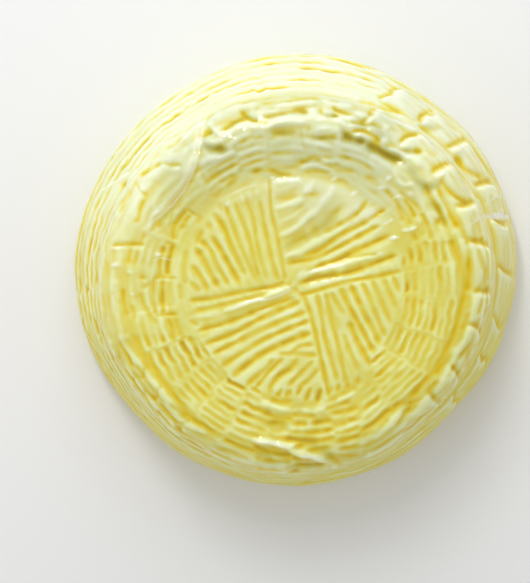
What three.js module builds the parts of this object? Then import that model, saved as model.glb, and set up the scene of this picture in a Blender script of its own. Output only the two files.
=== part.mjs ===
// A whole round of fresh tuma cheese, lying on its back with the basket-marked face up.
// One closed solid: four fans of ribs in the middle of the face, a band of staggered blocks around
// them, a lumpy shoulder, and a leaning side ringed by the weave of the draining basket.
import * as THREE from 'three';

const TAU = Math.PI * 2;
const rad = THREE.MathUtils.degToRad;

// Driving dimensions, mm. Angles run counter-clockwise looking at the marked face, 0 to the right.
const DIAMETER = 240;
const HEIGHT = 80;
const SHOULDER_RADIUS = 22;
const HEEL_RADIUS = 14;
const SIDE_LEAN = rad(20);
const OUTLINE_WAVES = [[2, 1.5, 0.95], [3, 0.5, 1.55], [4, 1.0, 0.1], [7, 0.3, 4.2], [11, 0.25, 0.8]];

// Rib fans in the middle of the face.
const FAN_RADIUS = 58;
const RIB_PITCH = 4.6;
const RIB_CREST = 0.35;
const RIB_DEPTH = 1.35;
const SEAM_DEPTH = 1.7;
const RIM_DEPTH = 0.9;
const BUTT_LENGTH = 1.6;
const FIRST_LINE = 0.9;
const CREST_EDGES = [0.28, 0.72];
const STEPS_ALONG_RIB = 6;
const CROSSING = { x: 5, y: 3.4 };
const CENTRE_GAP = 0.5;
const FANS = [
  { corner: 0, other: 1, start: rad(98), grain: rad(11.5), spread: rad(22), crossed: true },
  { corner: 0, other: 0, start: rad(191), grain: rad(98), spread: rad(21), crossed: false },
  { corner: 1, other: 0, start: rad(281.4), grain: rad(191), spread: rad(24), crossed: true },
  { corner: 1, other: 1, start: rad(371.5), grain: rad(281.4), spread: rad(18), crossed: false },
];

// Rings around the fans: stations are lengths along the skin from the middle of the face.
const STEPS_AROUND = 120;
const MOAT = { station: 59.8, depth: 2.1 };
const BAND = { from: 61.4, pitch: 4.72, rows: 5, crest: 0.45, groove: 0.85, joint: 0.8, block: 5, firstJoint: 3 };
const TROUGH = { station: 86.2, depth: 0.9, extra: 2.1, middle: rad(52), width: rad(38) };
const FOLDS = { from: 88.6, pitch: 6.6, rows: 3, crest: 0.9, groove: 0.5, lumps: 26 };
const SIDE = { from: 108.4, pitch: 7.1, rows: 7, crest: 0.55, groove: 0.65, joint: 0.7, block: 4, slope: 0.8 };
const HEEL = { from: 158.1, pitch: 6.4, rows: 2, crest: 0.35, groove: 0.45, joint: 0.2, block: 4, slope: 0.2 };
const HEEL_STATIONS = [170.9, 178];
const BLOCK_ZONE = { middle: rad(30), width: rad(95) };
const BASE_RING = { radius: 44, steps: 24 };

const FAN_SEED = 11;
const BAND_SEED = 23;
const FOLD_SEED = 37;
const SIDE_SEED = 41;
const HEEL_SEED = 59;

const HASH_PRIMES = [374761393, 668265263, 974634777];
const HASH_MIX = 1274126177;
const HASH_RANGE = 4294967296;

/** Repeatable number from 0 to 1 for a pair of whole numbers and a seed. */
function hash(i, j, seed) {
  let n = Math.imul(i, HASH_PRIMES[0]) + Math.imul(j, HASH_PRIMES[1]) + Math.imul(seed, HASH_PRIMES[2]);
  n = Math.imul(n ^ (n >>> 13), HASH_MIX);
  return ((n ^ (n >>> 16)) >>> 0) / HASH_RANGE;
}

/** Same, from -1 to 1. */
const spreadHash = (i, j, seed) => 2 * hash(i, j, seed) - 1;

/** Smooth closed noise around the wheel with the given number of bumps. */
function wheelNoise(angle, bumps, seed) {
  const place = ((((angle / TAU) % 1) + 1) % 1) * bumps;
  const cell = Math.floor(place);
  const mix = THREE.MathUtils.smoothstep(place - cell, 0, 1);
  const near = spreadHash(cell % bumps, bumps, seed);
  const next = spreadHash((cell + 1) % bumps, bumps, seed);
  return near + (next - near) * mix;
}

/** 1 at the middle of a sector of the wheel, easing to 0 at its half width. */
function sector(angle, { middle, width }) {
  const away = Math.abs(Math.atan2(Math.sin(angle - middle), Math.cos(angle - middle)));
  return 1 - THREE.MathUtils.smoothstep(away, width * 0.5, width);
}

// The smooth body: a flat face, a shoulder arc, a leaning side, a heel arc and a flat base.
const heelMiddle = { r: DIAMETER / 2 - HEEL_RADIUS, z: HEEL_RADIUS };
const leanCos = Math.cos(SIDE_LEAN);
const leanSin = Math.sin(SIDE_LEAN);
const shoulderZ = HEIGHT - SHOULDER_RADIUS;
const sideLength = (shoulderZ - heelMiddle.z + (SHOULDER_RADIUS - HEEL_RADIUS) * leanSin) / leanCos;
const shoulderR = heelMiddle.r + (HEEL_RADIUS - SHOULDER_RADIUS) * leanCos - sideLength * leanSin;
const shoulderEnd = shoulderR + SHOULDER_RADIUS * (Math.PI / 2 - SIDE_LEAN);
const sideEnd = shoulderEnd + sideLength;
const heelEnd = sideEnd + HEEL_RADIUS * (Math.PI / 2 + SIDE_LEAN);

function bodyAt(station) {
  if (station <= shoulderR) return { r: station, z: HEIGHT, nr: 0, nz: 1 };
  if (station <= shoulderEnd) {
    const turn = (station - shoulderR) / SHOULDER_RADIUS;
    const nr = Math.sin(turn);
    const nz = Math.cos(turn);
    return { r: shoulderR + SHOULDER_RADIUS * nr, z: shoulderZ + SHOULDER_RADIUS * nz, nr, nz };
  }
  if (station <= sideEnd) {
    const run = station - shoulderEnd;
    return {
      r: shoulderR + SHOULDER_RADIUS * leanCos + run * leanSin,
      z: shoulderZ + SHOULDER_RADIUS * leanSin - run * leanCos,
      nr: leanCos,
      nz: leanSin,
    };
  }
  const turn = SIDE_LEAN - (station - sideEnd) / HEEL_RADIUS;
  const nr = Math.cos(turn);
  const nz = Math.sin(turn);
  return { r: heelMiddle.r + HEEL_RADIUS * nr, z: heelMiddle.z + HEEL_RADIUS * nz, nr, nz };
}

/** How far the wheel swells or draws in at an angle, as a share of its radius. */
function swell(angle) {
  return OUTLINE_WAVES.reduce((sum, [order, size, phase]) => sum + size * Math.cos(order * angle - phase), 0)
    / (DIAMETER / 2);
}

// Mesh under construction: welded points and triangles that face outward.
const points = [];
const welded = new Map();
const triangles = [];
const WELD = 1000;

function addPoint(x, y, z) {
  const key = [x, y, z].map((value) => Math.round(value * WELD)).join();
  if (!welded.has(key)) {
    welded.set(key, points.length / 3);
    points.push(x, y, z);
  }
  return welded.get(key);
}

function addTriangle(a, b, c) {
  if (a !== b && b !== c && c !== a) triangles.push(a, b, c);
}

/** Fill between two runs of {point, key}, the first on the left of the direction of travel. */
function zip(left, right) {
  let i = 0;
  let j = 0;
  while (i < left.length - 1 || j < right.length - 1) {
    const stepLeft = j === right.length - 1
      || (i < left.length - 1 && left[i + 1].key + left[i].key <= right[j + 1].key + right[j].key);
    if (stepLeft) {
      addTriangle(left[i].point, right[j].point, left[i + 1].point);
      i += 1;
    } else {
      addTriangle(left[i].point, right[j].point, right[j + 1].point);
      j += 1;
    }
  }
}

/** A point of the face at face coordinates x, y, raised by a height. */
function facePoint(x, y, height) {
  const grow = 1 + swell(Math.atan2(y, x)) * (Math.hypot(x, y) / FAN_RADIUS);
  return addPoint(x * grow, y * grow, HEIGHT + height);
}

const crossingEnds = [{ x: -CROSSING.x, y: CROSSING.y }, { x: CROSSING.x, y: -CROSSING.y }];

/** Distance along a ray to where it leaves the fan disc. */
function reachRim(x, y, dx, dy) {
  const along = x * dx + y * dy;
  return -along + Math.sqrt(Math.max(0, along * along + FAN_RADIUS ** 2 - x * x - y * y));
}

/** Distance along a ray to the short line that joins the two crossings in the middle. */
function reachCrossing(x, y, dx, dy) {
  const [a, b] = crossingEnds;
  const ex = b.x - a.x;
  const ey = b.y - a.y;
  return ((a.x - x) * ey - (a.y - y) * ex) / (dx * ey - dy * ex);
}

/** Positions along the start seam where rib lines run, with the height each line holds. */
function ribLines(edge, corner, seed) {
  const lines = [{ v: FIRST_LINE, height: RIB_CREST }, { v: CREST_EDGES[1] * RIB_PITCH, height: RIB_CREST }];
  for (let rib = 1; rib * RIB_PITCH < edge; rib++) {
    const at = (rib + 0.12 * spreadHash(rib, 0, seed)) * RIB_PITCH;
    lines.push({ v: at, height: -RIB_DEPTH * (0.75 + 0.5 * hash(rib, 1, seed)) });
    for (const share of CREST_EDGES) lines.push({ v: at + share * RIB_PITCH, height: RIB_CREST });
  }
  const kept = lines.filter((line) => line.v < edge - FIRST_LINE);
  kept.push({ v: edge, height: -SEAM_DEPTH, tip: true });
  if (corner > 0) {
    const away = (line) => Math.abs(line.v - corner);
    const nearest = kept.reduce((best, line) => (away(line) < away(best) ? line : best));
    Object.assign(nearest, { v: corner, height: RIB_CREST, corner: true });
  }
  return kept;
}

/** Height of a rib line at one of its steps, from the start seam out to the rim. */
function ribHeight(line, step, seed) {
  if (step === 0 || line.tip) return -SEAM_DEPTH;
  if (step === STEPS_ALONG_RIB) return Math.min(-RIM_DEPTH, line.height);
  return line.height * (line.height < 0 ? 1 - 0.35 * hash(step, Math.round(line.v), seed) : 1);
}

/** Where a fan's rib lines are counted from, and how far along its start seam the seam itself begins. */
function fanOrigin(fan) {
  const corner = crossingEnds[fan.corner];
  const ex = Math.cos(fan.start);
  const ey = Math.sin(fan.start);
  if (!fan.crossed) return { ox: corner.x, oy: corner.y, ex, ey, begin: 0 };
  const other = crossingEnds[fan.other];
  const gx = Math.cos(fan.grain);
  const gy = Math.sin(fan.grain);
  const begin = ((corner.x - other.x) * gy - (corner.y - other.y) * gx) / (ex * gy - ey * gx);
  return { ox: corner.x - begin * ex, oy: corner.y - begin * ey, ex, ey, begin };
}

function buildFan(fan, index) {
  const { ox, oy, ex, ey, begin } = fanOrigin(fan);
  const seed = FAN_SEED + index;
  const edge = reachRim(ox, oy, ex, ey);
  const lines = ribLines(edge, begin, seed).map((line) => {
    const turn = fan.grain + fan.spread * (line.v / edge);
    const dx = Math.cos(turn);
    const dy = Math.sin(turn);
    const skip = line.v < begin ? reachCrossing(ox + line.v * ex, oy + line.v * ey, dx, dy) + CENTRE_GAP : 0;
    const x = ox + line.v * ex + skip * dx;
    const y = oy + line.v * ey + skip * dy;
    const length = line.tip ? 0 : reachRim(x, y, dx, dy);
    const butt = Math.min(BUTT_LENGTH, length / 4);
    const run = [];
    for (let step = 0; step <= STEPS_ALONG_RIB; step++) {
      const between = butt + (length - 2 * butt) * (step - 1) / (STEPS_ALONG_RIB - 2);
      const u = THREE.MathUtils.clamp(step === 0 ? 0 : between, 0, step === STEPS_ALONG_RIB ? length : between);
      const px = x + u * dx;
      const py = y + u * dy;
      run.push({ point: facePoint(px, py, ribHeight(line, step, seed)), key: Math.hypot(px, py), x: px, y: py });
    }
    return { v: line.v, run };
  });
  for (let k = 0; k + 1 < lines.length; k++) {
    const here = lines[k].run;
    const next = lines[k + 1].run;
    for (let step = 0; step < STEPS_ALONG_RIB; step++) {
      addTriangle(next[step].point, here[step].point, here[step + 1].point);
      addTriangle(next[step].point, here[step + 1].point, next[step + 1].point);
    }
  }
  return { fan, begin, lines };
}

/** Join each fan to the one before it across their seam, and the two crossed fans in the middle. */
function joinFans(fans) {
  const crossings = crossingEnds.map(({ x, y }) => (
    { point: facePoint(x, y, -SEAM_DEPTH), key: Math.hypot(x, y), x, y }));
  const starts = (item, keep) => item.lines.filter((line) => keep(line.v)).map((line) => line.run[0]);
  fans.forEach((next, index) => {
    const before = fans[(index + fans.length - 1) % fans.length];
    const seam = starts(before, (v) => v > before.begin + FIRST_LINE / 2);
    zip(next.lines[0].run, [crossings[before.fan.corner], ...seam]);
  });
  const climb = (entry) => ({ ...entry, key: entry.y * CROSSING.x - entry.x * CROSSING.y });
  const [upper, lower] = fans.filter((item) => item.fan.crossed);
  const middle = (item) => starts(item, (v) => v < item.begin - FIRST_LINE / 2);
  const right = [crossings[1], ...middle(upper), crossings[0]].map(climb);
  const left = [crossings[1], ...middle(lower).reverse(), crossings[0]].map(climb);
  zip(left, right);
}

/** Steps from the last block joint, for every step around one row of blocks. */
function stepsFromJoint(block, row, seed) {
  const since = new Array(STEPS_AROUND).fill(-1);
  const count = STEPS_AROUND / block;
  for (let index = 0; index < count; index++) {
    const shift = Math.round(0.8 * spreadHash(index, row, seed));
    const at = index * block + Math.round(row * block * 0.4) + shift;
    since[(at + STEPS_AROUND) % STEPS_AROUND] = 0;
  }
  let last = since.lastIndexOf(0) - STEPS_AROUND;
  return since.map((value, step) => {
    if (value === 0) last = step;
    return step - last;
  });
}

/** One ring of the band: blocks side by side, where each block's crests meet its neighbours' grooves. */
function bandRing(ring) {
  const height = (angle, step) => {
    const past = (step - BAND.firstJoint + STEPS_AROUND) % STEPS_AROUND;
    const block = Math.floor(past / BAND.block);
    if (past % BAND.block === 0) return -BAND.joint;
    const rough = 1 + 0.3 * spreadHash(ring, block, BAND_SEED);
    return rough * ((ring + block) % 2 === 0 ? -BAND.groove : BAND.crest);
  };
  return [BAND.from + ring * BAND.pitch / 2, height];
}

/** Two rings of one row: the groove before it, and its crest cut into blocks. */
function blockRow(zone, row, seed, cut) {
  const since = stepsFromJoint(zone.block, row, seed);
  const station = zone.from + row * zone.pitch;
  const groove = (angle) => -zone.groove * (1 + 0.35 * wheelNoise(angle, 17, seed + row));
  const crest = (angle, step) => {
    const share = cut(angle);
    const level = zone.crest * (1 + 0.25 * wheelNoise(angle, 23, seed - row));
    if (since[step] === 0) return level - share * (zone.joint + zone.crest);
    return level + share * zone.slope * ((since[step] - 1) / (zone.block - 1) - 0.5);
  };
  return [[station, groove], [station + zone.pitch / 2, crest]];
}

function foldRow(row) {
  const station = FOLDS.from + row * FOLDS.pitch;
  const groove = (angle) => -FOLDS.groove * (1 + wheelNoise(angle, FOLDS.lumps, FOLD_SEED + row));
  const crest = (angle) => FOLDS.crest * wheelNoise(angle, FOLDS.lumps, FOLD_SEED - row);
  return [[station, groove], [station + FOLDS.pitch / 2, crest]];
}

function ringPlan() {
  const blockSide = (angle) => 0.15 + 0.85 * sector(angle, BLOCK_ZONE);
  const plan = [[MOAT.station, (angle) => -MOAT.depth * (1 + 0.2 * wheelNoise(angle, 19, BAND_SEED))]];
  for (let ring = 0; ring < 2 * BAND.rows; ring++) plan.push(bandRing(ring));
  plan.push([TROUGH.station, (angle) => -TROUGH.depth - TROUGH.extra * sector(angle, TROUGH)]);
  for (let row = 0; row < FOLDS.rows; row++) plan.push(...foldRow(row));
  for (let row = 0; row < SIDE.rows; row++) plan.push(...blockRow(SIDE, row, SIDE_SEED, blockSide));
  for (let row = 0; row < HEEL.rows; row++) plan.push(...blockRow(HEEL, row, HEEL_SEED, blockSide));
  for (const station of HEEL_STATIONS) plan.push([station, () => 0]);
  plan.push([heelEnd, () => 0]);
  return plan;
}

function buildRing([station, height]) {
  const body = bodyAt(station);
  const ring = [];
  for (let step = 0; step < STEPS_AROUND; step++) {
    const angle = TAU * step / STEPS_AROUND;
    const rise = height(angle, step);
    const radius = body.r * (1 + swell(angle)) + rise * body.nr;
    const point = addPoint(radius * Math.cos(angle), radius * Math.sin(angle), body.z + rise * body.nz);
    ring.push({ point, key: angle });
  }
  return [...ring, { ...ring[0], key: TAU }];
}

function buildBase(outer) {
  const inner = [];
  for (let step = 0; step <= BASE_RING.steps; step++) {
    const angle = TAU * step / BASE_RING.steps;
    const point = addPoint(BASE_RING.radius * Math.cos(angle), BASE_RING.radius * Math.sin(angle), 0);
    inner.push({ point, key: angle });
  }
  zip(outer, inner);
  const middle = addPoint(0, 0, 0);
  for (let step = 0; step < BASE_RING.steps; step++) {
    addTriangle(inner[step].point, middle, inner[step + 1].point);
  }
}

function buildWheel() {
  const fans = FANS.map(buildFan);
  joinFans(fans);
  const rim = fans.flatMap((item) => item.lines.map((line) => line.run[STEPS_ALONG_RIB]))
    .map(({ point, x, y }) => ({ point, key: (Math.atan2(y, x) + TAU) % TAU }))
    .sort((a, b) => a.key - b.key);
  rim.push({ ...rim[0], key: rim[0].key + TAU });
  let last = rim;
  for (const entry of ringPlan()) {
    const ring = buildRing(entry);
    zip(last, ring);
    last = ring;
  }
  buildBase(last);
}

buildWheel();

const geometry = new THREE.BufferGeometry();
geometry.setAttribute('position', new THREE.Float32BufferAttribute(points, 3));
geometry.setIndex(triangles);
geometry.rotateZ(Math.PI);
geometry.computeBoundingBox();
const box = geometry.boundingBox;
geometry.translate(-(box.min.x + box.max.x) / 2, -(box.min.y + box.max.y) / 2, -box.min.z);
geometry.computeVertexNormals();

const cheese = new THREE.MeshStandardMaterial({ name: 'tuma_cheese', color: 0xe9dfa0, roughness: 0.35, metalness: 0 });
const wheel = new THREE.Mesh(geometry, cheese);
wheel.name = 'cheese_wheel';

const part = new THREE.Group();
part.name = 'fresh_tuma_cheese';
part.add(wheel);

export default part;
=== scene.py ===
"""A whole round of fresh tuma cheese in tight clear film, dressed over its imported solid.

Lengths are in mm until the meshes are made. The face frame has x to the right and y up as the
photograph shows the marked face, and z out of it. Angles are in degrees, counter-clockwise from x.
A point on the skin is named by its angle and by its station, the length along the profile from
the middle of the face.
"""
import math

import bpy
import numpy as np
from mathutils import Matrix, Vector


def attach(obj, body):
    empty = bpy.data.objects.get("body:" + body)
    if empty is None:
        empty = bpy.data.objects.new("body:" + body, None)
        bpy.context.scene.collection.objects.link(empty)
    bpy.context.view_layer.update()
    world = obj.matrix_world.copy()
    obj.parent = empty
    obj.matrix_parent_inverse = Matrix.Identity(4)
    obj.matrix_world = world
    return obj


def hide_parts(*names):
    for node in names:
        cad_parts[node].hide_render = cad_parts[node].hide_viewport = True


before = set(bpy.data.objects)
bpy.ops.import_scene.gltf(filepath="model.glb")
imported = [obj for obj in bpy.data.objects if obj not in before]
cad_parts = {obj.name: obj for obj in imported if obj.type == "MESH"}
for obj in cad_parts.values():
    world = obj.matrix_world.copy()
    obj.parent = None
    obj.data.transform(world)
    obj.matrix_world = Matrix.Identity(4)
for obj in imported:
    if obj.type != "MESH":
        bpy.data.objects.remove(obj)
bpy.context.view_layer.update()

# -------- sizes
RADIUS, HEIGHT = 120.0, 80.0
SHOULDER_R, HEEL_R, LEAN = 22.0, 14.0, math.radians(20)
# The outline isn't quite round: waves in a turn, their height in mm and their phase.
OUTLINE_WAVES = [(2, 1.5, 0.95), (3, 0.5, 1.55), (4, 1.0, 0.1), (7, 0.3, 4.2), (11, 0.25, 0.8)]

# Radius of the square grid of points that is bent into the face, and steps of the mesh.
FACE_GRID = 60.0
FACE_STEPS, SHOULDER_STEPS, SIDE_STEPS, HEEL_STEPS = 220, 68, 66, 24
STEPS_AROUND = 4 * FACE_STEPS

# Stations of the relief: the edge of the disc, the middles of the step round it and of the trough
# and fold outside the band, and pairs between which a zone sets in or ends.
DISC, MOAT, TROUGH, ROLL = 58.0, 60.2, 87, 92.5
BAND_START, BAND_STOP = (55.5, 58.5), (84, 89)
SHOULDER_START, SHOULDER_STOP = (85, 90), (106, 112)
SIDE_START, SIDE_STOP, BASE_FADE = (107, 113), (160, 176), (171, 182)

HEEL_MID = (RADIUS - HEEL_R, HEEL_R)
LEAN_C, LEAN_S = math.cos(LEAN), math.sin(LEAN)
EDGE_Z = HEIGHT - SHOULDER_R
SIDE_LEN = (EDGE_Z - HEEL_MID[1] + (SHOULDER_R - HEEL_R) * LEAN_S) / LEAN_C
EDGE_R = HEEL_MID[0] + (HEEL_R - SHOULDER_R) * LEAN_C - SIDE_LEN * LEAN_S
SHOULDER_END = EDGE_R + SHOULDER_R * (math.pi / 2 - LEAN)
SIDE_END = SHOULDER_END + SIDE_LEN
HEEL_END = SIDE_END + HEEL_R * (math.pi / 2 + LEAN)

# -------- the camera
PHOTO_W, PHOTO_H = 530, 583
FOCAL_PX = 2356.0
DISTANCE = 1300.0
TILT, YAW = math.radians(8.2), math.radians(1.6)
AIM = np.array([-16.5, -10.8, HEEL_R])
BACK = np.array([math.sin(YAW), math.sin(TILT) * math.cos(YAW), math.cos(TILT) * math.cos(YAW)])
RIGHT = np.cross([0.0, 1.0, 0.0], BACK)
RIGHT /= np.linalg.norm(RIGHT)
UP = np.cross(BACK, RIGHT)
EYE = AIM + DISTANCE * BACK


def to_photo(points):
    """Where face-frame points fall in the photograph, in its pixels."""
    away = points - EYE
    depth = -(away @ BACK)
    return (PHOTO_W / 2 + FOCAL_PX * (away @ RIGHT) / depth,
            PHOTO_H / 2 - FOCAL_PX * (away @ UP) / depth)


# -------- noise
def either(i, j=0, seed=0):
    """Repeatable number from -1 to 1 for whole numbers."""
    n = (np.asarray(i).astype(np.int64) * 374761393 + np.asarray(j).astype(np.int64) * 668265263
         + seed * 974634777) & 0xFFFFFFFF
    n = ((n ^ (n >> 13)) * 1274126177) & 0xFFFFFFFF
    return 2 * ((n ^ (n >> 16)) / 4294967296.0) - 1


def ease(low, high, value):
    t = np.clip((value - low) / (high - low), 0, 1)
    return t * t * (3 - 2 * t)


def noise(x, y, seed, around=None):
    """Smooth noise from -1 to 1; x repeats after `around` cells."""
    y = y + np.zeros_like(x)
    i, j = np.floor(x), np.floor(y)
    fx, fy = ease(0, 1, x - i), ease(0, 1, y - j)
    wrap = (lambda v: v % around) if around else (lambda v: v)
    a, b = either(wrap(i), j, seed), either(wrap(i + 1), j, seed)
    c, d = either(wrap(i), j + 1, seed), either(wrap(i + 1), j + 1, seed)
    return (a + (b - a) * fx) * (1 - fy) + (c + (d - c) * fx) * fy


def layered(x, y, seed, around=None, layers=3):
    """Noise with finer noise on it, each layer half as high as the last."""
    total, size = 0, 1.0
    for k in range(layers):
        total = total + size * noise(x * 2 ** k, y * 2 ** k, seed + k, around and around * 2 ** k)
        size *= 0.5
    return total / 1.75


def sector(angle, middle, width):
    """1 within half the width of a sector, easing to 0 at its full width."""
    away = np.abs((angle - middle + 180) % 360 - 180)
    return 1 - ease(width * 0.5, width, away)


# -------- the bare surface
def profile(s):
    """Radius and height of the profile at a station, and its normal."""
    turn = np.clip((s - EDGE_R) / SHOULDER_R, 0, math.pi / 2 - LEAN)
    run = np.clip(s - SHOULDER_END, 0, SIDE_LEN)
    drop = np.clip(s - SIDE_END, 0, None) / HEEL_R
    r = np.minimum(s, EDGE_R) + SHOULDER_R * np.sin(turn) + run * LEAN_S
    z = EDGE_Z + SHOULDER_R * np.cos(turn) - run * LEAN_C
    nr, nz = np.sin(turn), np.cos(turn)
    heel = s > SIDE_END
    low = LEAN - drop
    r = np.where(heel, HEEL_MID[0] + HEEL_R * np.cos(low), r)
    z = np.where(heel, HEEL_MID[1] + HEEL_R * np.sin(low), z)
    return r, z, np.where(heel, np.cos(low), nr), np.where(heel, np.sin(low), nz)


def swell(angle):
    a = np.radians(angle)
    return sum(size * np.cos(order * a - phase) for order, size, phase in OUTLINE_WAVES) / RADIUS


def disc_grid():
    """A square grid bent into the face disc, its rim evenly spaced."""
    line = np.linspace(-1, 1, FACE_STEPS + 1)
    a, b = np.meshgrid(line, line, indexing="xy")
    wide = np.abs(a) > np.abs(b)
    with np.errstate(divide="ignore", invalid="ignore"):
        turn = np.where(wide, np.pi / 4 * b / a, np.pi / 2 - np.pi / 4 * a / b)
    reach = np.where(wide, a, b)
    turn = np.where((a == 0) & (b == 0), 0, turn)
    return reach * np.cos(turn) * FACE_GRID, reach * np.sin(turn) * FACE_GRID


def stations():
    """Stations of the rings, from the face grid to the edge of the base."""
    parts = [(FACE_GRID, SHOULDER_END, SHOULDER_STEPS), (SHOULDER_END, SIDE_END, SIDE_STEPS),
             (SIDE_END, HEEL_END, HEEL_STEPS)]
    return np.concatenate([np.linspace(start, stop, steps + 1)[1:] for start, stop, steps in parts])


grid_x, grid_y = disc_grid()
ring_s = stations()
around = -45 + 360 * np.arange(STEPS_AROUND) / STEPS_AROUND
S = np.concatenate([np.hypot(grid_x, grid_y).ravel(), np.repeat(ring_s, STEPS_AROUND)])
A = np.concatenate([np.degrees(np.arctan2(grid_y, grid_x)).ravel(), np.tile(around, len(ring_s))])
A %= 360
bare_r, bare_z, normal_r, normal_z = profile(S)
grow = 1 + swell(A) * np.clip(bare_r / DISC, 0, 1)
cos_a, sin_a = np.cos(np.radians(A)), np.sin(np.radians(A))
X, Y = bare_r * grow * cos_a, bare_r * grow * sin_a
bare = np.stack([X - (X.max() + X.min()) / 2, Y - (Y.max() + Y.min()) / 2, bare_z], 1)
normal = np.stack([normal_r * cos_a, normal_r * sin_a, normal_z], 1)
PX, PY = to_photo(bare)
facing = (normal * (EYE - bare)).sum(1) / DISTANCE
seen = facing > 0

# The cut pieces hide the skin where it is both left of UNSEEN_X and below UNSEEN_Y, and right of an
# edge that runs down the photograph from EDGE_TOP. All are in px, as is how soft their ends are.
UNSEEN_X, UNSEEN_Y, EDGE_TOP, SOFT = 262, 336, 236, 4
EDGE_AT_Y, EDGE_X = [236, 243, 300, 350, 490], [520, 410, 385, 372, 356]


def past(pixels):
    return ease(-SOFT, SOFT, pixels)


in_view = 1 - past(UNSEEN_X - PX) * past(PY - UNSEEN_Y)
in_view *= 1 - past(PX - np.interp(PY, EDGE_AT_Y, EDGE_X)) * past(PY - EDGE_TOP)
in_view *= ease(0.0, 0.25, facing)

# -------- marks read off the photograph
# Each mark runs along a groove (+) or a ridge (-) as the photograph shows it: mm deep or high, half
# width in px, and its points in px.
MARKS = {}
MARKS["seams"] = [
    (0.9, 1.25, (269.6,180), (271.5,212), (277,235), (282.4,264), (285,281)),
    (1.2, 1.7, (189,301), (212,298.7), (242,292.4), (276,286.2), (285,281)),
    (1.3, 1.9, (301,296), (320,290), (349,281.5), (378,276.8), (401,271)),
    (1.3, 1.8, (299,292), (305,299), (314,327), (320.7,357), (328,390), (330,397)),
    (0.5, 1.8, (285,281), (292,288), (299,293)),
]
MARKS["upper left fan"] = [
    (0.8, 1.35, (259,201), (262.9,216), (269,247), (275.4,272), (280,282)),
    (0.8, 1.4, (245.5,199), (253.4,219), (256.3,239), (262,264), (267,279)),
    (1, 1.7, (235,203), (246,231), (252,250), (259,279)),
    (1, 1.7, (225,205), (234.7,231), (243,252), (257,282)),
    (1.3, 2.2, (213,212), (224.8,230), (231.4,247), (246,276)),
    (1.9, 2.4, (211,236), (219,247), (226.4,260), (241,286)),
    (1.4, 2.1, (198,238), (210.7,251), (217,265), (229,286)),
    (1.5, 2.2, (195,247), (205,262), (212,276), (219,289)), (1.2, 2, (191,264), (202,279), (209,293)),
    (0.9, 1.7, (189,281), (201,292)), (0.9, 1.7, (207,221), (213,231)), (0.8, 1.6, (219,203), (223,213)),
    (0.9, 2, (203,228), (196,246)), (-0.35, 2.2, (215,204), (240,190), (262,181)),
    (-0.25, 2.2, (255,188), (258,198)), (-0.2, 2, (247,189), (251,200)), (-0.3, 2.2, (240,193), (244,204)),
    (-0.7, 2, (225,204), (230,199.5)),
]
MARKS["upper right fan"] = [
    (0.5, 1.8, (272,199), (286,195), (299,187)), (0.8, 3, (273,199), (290,198), (305,195.5), (322,194)),
    (0.5, 1.5, (282,218.5), (292,213), (305,204)),
    (1.2, 5.2, (284,247), (303,238), (322,227), (337,212), (346,199)),
    (0.4, 1.4, (294,237), (303,231), (312,226)), (0.5, 1.3, (337,184), (342,180), (349,186)),
    (0.6, 1.4, (365,207.5), (376,204.5)), (0.6, 1.2, (295,236.3), (309,229)),
    (1.3, 2.2, (321,234), (341,224), (358,213), (369,199)),
    (1.5, 2.2, (302,257), (320,250), (340,235), (360,225.6), (387,209)),
    (1.5, 2.1, (287,264), (316,258), (340,247), (360,236), (380,225)),
    (1.9, 2.5, (314,268), (340,259.6), (356,251), (391,235)), (0.8, 1.5, (343,260), (357,257), (379,254)),
    (2, 2.7, (299,284.5), (317,278.6), (349,273), (374,264), (398,255)), (1, 2.6, (290,268), (293,272)),
    (-0.5, 3, (294,278), (328,268.5), (348,263), (384,253)),
    (-0.5, 2.2, (272,183), (282,181), (296,180.3), (303,183)),
    (-0.6, 3.6, (272,209), (284,206), (297,201), (308,190), (315,179)),
    (-0.4, 3, (278,223), (290,217), (302,208)),
    (-0.7, 4, (277,237), (293,230), (306,219), (318,208), (329,195), (335,184)),
    (-0.6, 3.2, (283,257), (300,252.5), (318,242), (335,233.5), (349,224)),
    (-0.7, 1.9, (331,181), (337,176.5)), (-0.7, 2.1, (350,195.5), (358,191)),
    (-0.7, 2.1, (376,188), (386,186.5)), (-0.6, 1.6, (378,216), (384,213)),
]
MARKS["lower left fan"] = [
    (0.8, 2, (194,311.6), (212,308), (241,300.6), (270,294)),
    (1.6, 2.3, (198,331), (223,324.5), (259,310.6), (294,297.5)),
    (1.5, 2.2, (204,345), (233.6,333.6), (263,318), (302,301)),
    (1.3, 2, (212,355), (254.6,333.6), (285,320), (307,312)),
    (1.4, 2.1, (221,367), (259,343), (285,330.7), (311,320.5)),
    (1.8, 2.4, (232,377), (263,354), (295,339), (312,333)),
    (1, 1.7, (277,353), (291,353.7), (300.6,346), (315,345)),
    (0.9, 1.8, (291,354), (304.4,354.6), (319,356)), (1.2, 2, (246,386), (258,376), (276,358)),
    (1.3, 2, (254,390), (272,369), (284,358)), (1.8, 2.4, (268,391), (278.6,376.7), (290,369), (299,358)),
    (1.1, 1.9, (288,387), (299.6,374.7), (314,361)), (1.2, 2, (298,389), (308,381), (321,367)),
    (-0.25, 3.6, (192,318), (208,315), (222,312)),
    (-0.8, 2.8, (222,312), (251,302), (281,291.5), (295,285)),
]
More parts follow.
